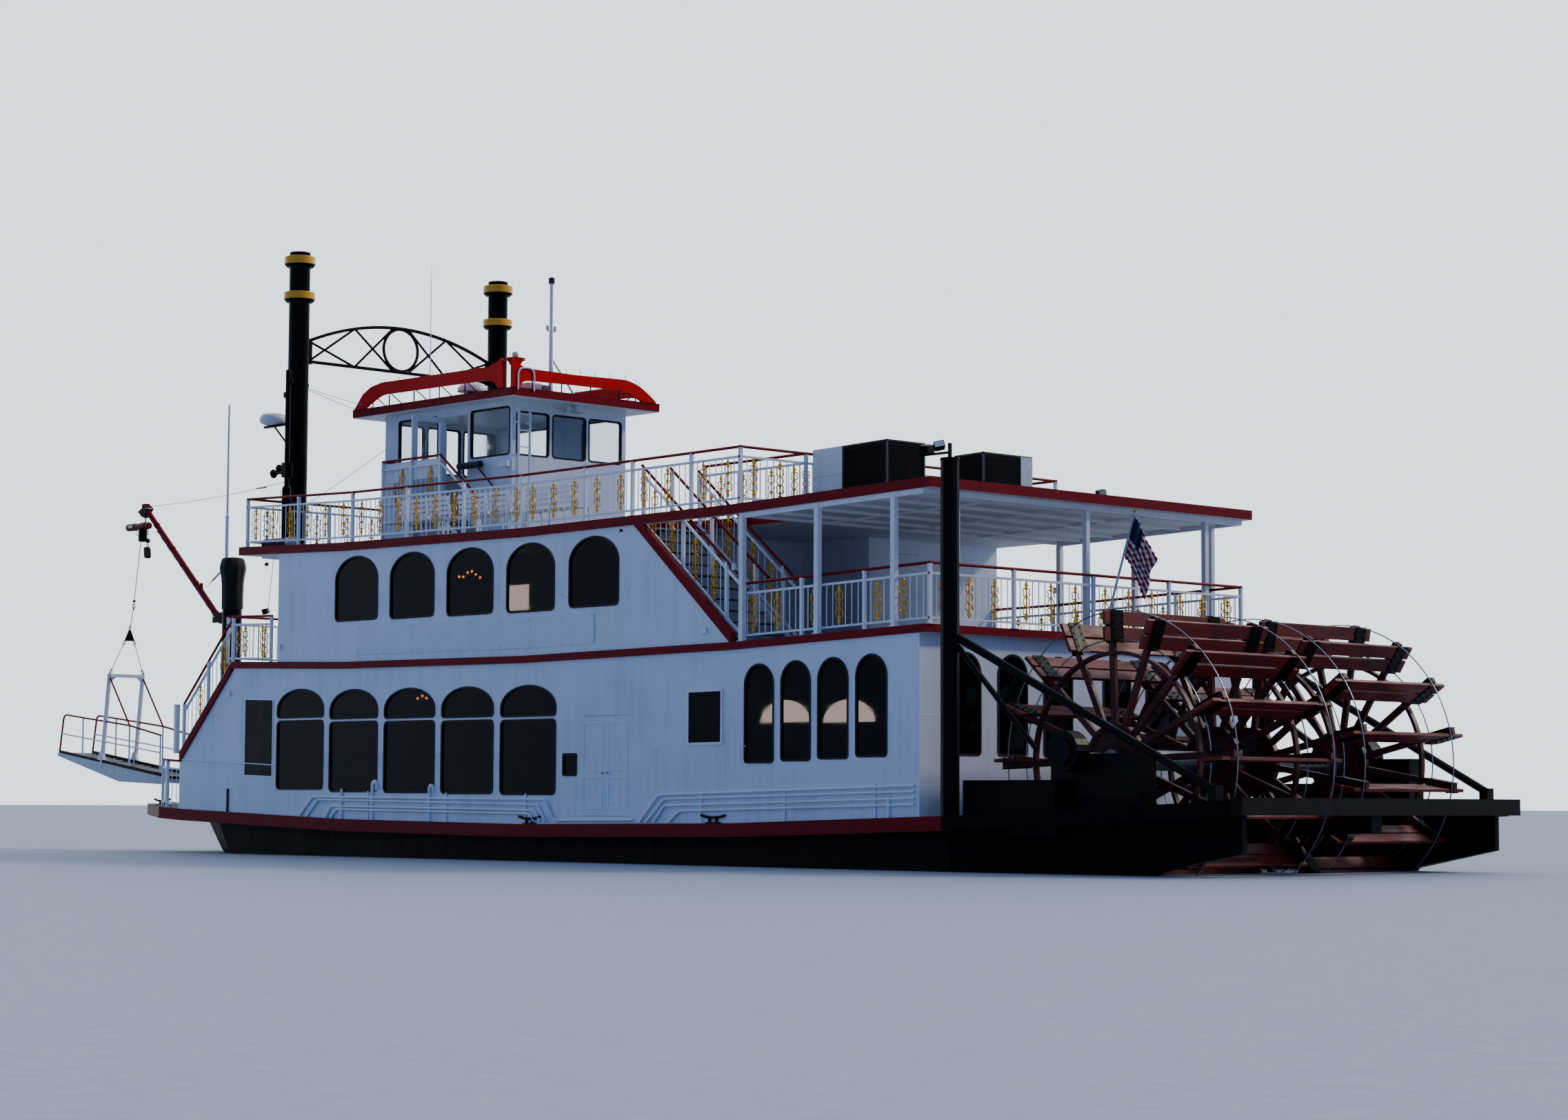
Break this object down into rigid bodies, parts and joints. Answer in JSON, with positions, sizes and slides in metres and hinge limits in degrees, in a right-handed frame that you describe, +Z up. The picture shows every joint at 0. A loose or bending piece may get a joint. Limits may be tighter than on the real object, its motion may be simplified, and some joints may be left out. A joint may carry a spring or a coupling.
{
  "type": "sternwheel excursion boat",
  "caption": "Sternwheel excursion boat: steel hull, glazed house decks, raised pilothouse, tall funnels, turning stern paddlewheels, swinging doors and a hoisted landing stage.",
  "frame": {"origin": "middle of the hull's flat bottom, on the centreline", "axes": "+X towards the bow, +Y to port, +Z up"},
  "size_m": [36.03, 8.8, 14.37],
  "materials": {
    "white_paint": "semi-gloss",
    "red_paint": "semi-gloss",
    "black_paint": "satin",
    "grey_paint": "matte",
    "bare_steel": "worn"
  },
  "bodies": {
    "boat": {"main_side_port": "white_paint", "main_side_starboard": "white_paint", "main_aft_wall": "white_paint", "main_front_wall": "white_paint", "second_side_port": "white_paint", "second_side_starboard": "white_paint", "second_front_wall": "white_paint", "second_aft_wall": "white_paint", "canopy_frame": "white_paint", "third_rail": "white_paint", "second_aft_rail": "white_paint", "second_fore_rail": "white_paint", "bow_rail": "white_paint", "bow_gate": "white_paint", "pilothouse_walls": "white_paint", "pilot_landing": "white_paint", "main_deck": "red_paint", "second_deck": "red_paint", "third_deck": "red_paint", "stair_rail_port": "red_paint", "stair_rail_starboard": "red_paint", "pilothouse_roof": "red_paint", "aft_stair_band": "red_paint", "fore_stair_port": "grey_paint", "fore_stair_starboard": "grey_paint", "pilothouse_floor": "grey_paint", "hull": "black_paint", "sponson_port": "black_paint", "sponson_starboard": "black_paint", "aft_beam": "black_paint", "centre_arm": "black_paint", "drive_port": "black_paint", "drive_starboard": "black_paint", "aft_stair": "black_paint", "funnel_port": "black_paint", "funnel_starboard": "black_paint", "funnel_truss": "black_paint", "hog_post_port": "black_paint", "hog_post_starboard": "black_paint", "roof_unit_forward": "black_paint", "roof_unit_aft": "black_paint", "bow_post": "black_paint", "radar_mast": "black_paint"},
    "wheel_port": {"paddlewheel_port": "red_paint", "wheel_shaft_port": "bare_steel"},
    "wheel_starboard": {"paddlewheel_starboard": "red_paint", "wheel_shaft_starboard": "bare_steel"},
    "rudder_port_body": {"rudder_port": "black_paint"},
    "rudder_starboard_body": {"rudder_starboard": "black_paint"},
    "boom_body": {"boom": "black_paint"},
    "stage_body": {"hoist": "red_paint", "landing_stage": "grey_paint"},
    "pilot_door_body": {"pilothouse_door": "white_paint"},
    "deck_door_body": {"deck_door": "white_paint"},
    "door_aft_port_body": {"side_door_aft_port": "white_paint"},
    "door_fore_port_body": {"side_door_fore_port": "white_paint"},
    "door_aft_starboard_body": {"side_door_aft_starboard": "white_paint"},
    "door_fore_starboard_body": {"side_door_fore_starboard": "white_paint"}
  },
  "joints": [
    {"name": "wheel_turn_port", "type": "hinge", "parent": "boat", "child": "wheel_port", "pos_m": [-12.95, 1.775, 2.83], "axis": [0, 1, 0], "continuous": true},
    {"name": "wheel_turn_starboard", "type": "hinge", "parent": "boat", "child": "wheel_starboard", "pos_m": [-12.95, -1.775, 2.83], "axis": [0, 1, 0], "continuous": true},
    {"name": "rudder_steer_port", "type": "hinge", "parent": "boat", "child": "rudder_port_body", "pos_m": [-9.9, 1.75, 0.9], "axis": [0, 0, 1], "range_deg": [-35, 35]},
    {"name": "rudder_steer_starboard", "type": "hinge", "parent": "boat", "child": "rudder_starboard_body", "pos_m": [-9.9, -1.75, 0.9], "axis": [0, 0, 1], "range_deg": [-35, 35]},
    {"name": "boom_luff", "type": "hinge", "parent": "boat", "child": "boom_body", "pos_m": [13.75, 3, 6.27], "axis": [0, -1, 0], "range_deg": [-10, 8]},
    {"name": "stage_level", "type": "hinge", "parent": "boom_body", "child": "stage_body", "pos_m": [16.9, 3, 8.77], "axis": [0, -1, 0], "range_deg": [-8, 10]},
    {"name": "pilothouse_door_swing", "type": "hinge", "parent": "boat", "child": "pilot_door_body", "pos_m": [7.2495, 1.5803, 9.2], "axis": [0, 0, 1], "range_deg": [0, 100]},
    {"name": "deck_door_swing", "type": "hinge", "parent": "boat", "child": "deck_door_body", "pos_m": [-3.5, -2.0495, 6], "axis": [0, 0, 1], "range_deg": [0, 100]},
    {"name": "side_door_aft_port_swing", "type": "hinge", "parent": "boat", "child": "door_aft_port_body", "pos_m": [-2.2025, 4.35, 2.7], "axis": [0, 0, 1], "range_deg": [0, 90]},
    {"name": "side_door_fore_port_swing", "type": "hinge", "parent": "boat", "child": "door_fore_port_body", "pos_m": [-0.7595, 4.35, 2.7], "axis": [0, 0, 1], "range_deg": [-90, 0]},
    {"name": "side_door_aft_starboard_swing", "type": "hinge", "parent": "boat", "child": "door_aft_starboard_body", "pos_m": [-2.2025, -4.35, 2.7], "axis": [0, 0, 1], "range_deg": [-90, 0]},
    {"name": "side_door_fore_starboard_swing", "type": "hinge", "parent": "boat", "child": "door_fore_starboard_body", "pos_m": [-0.7595, -4.35, 2.7], "axis": [0, 0, 1], "range_deg": [0, 90]}
  ],
  "couplings": [
    {"joint": "rudder_steer_starboard", "follows": "rudder_steer_port", "ratio": 1},
    {"joint": "stage_level", "follows": "boom_luff", "ratio": -1}
  ]
}
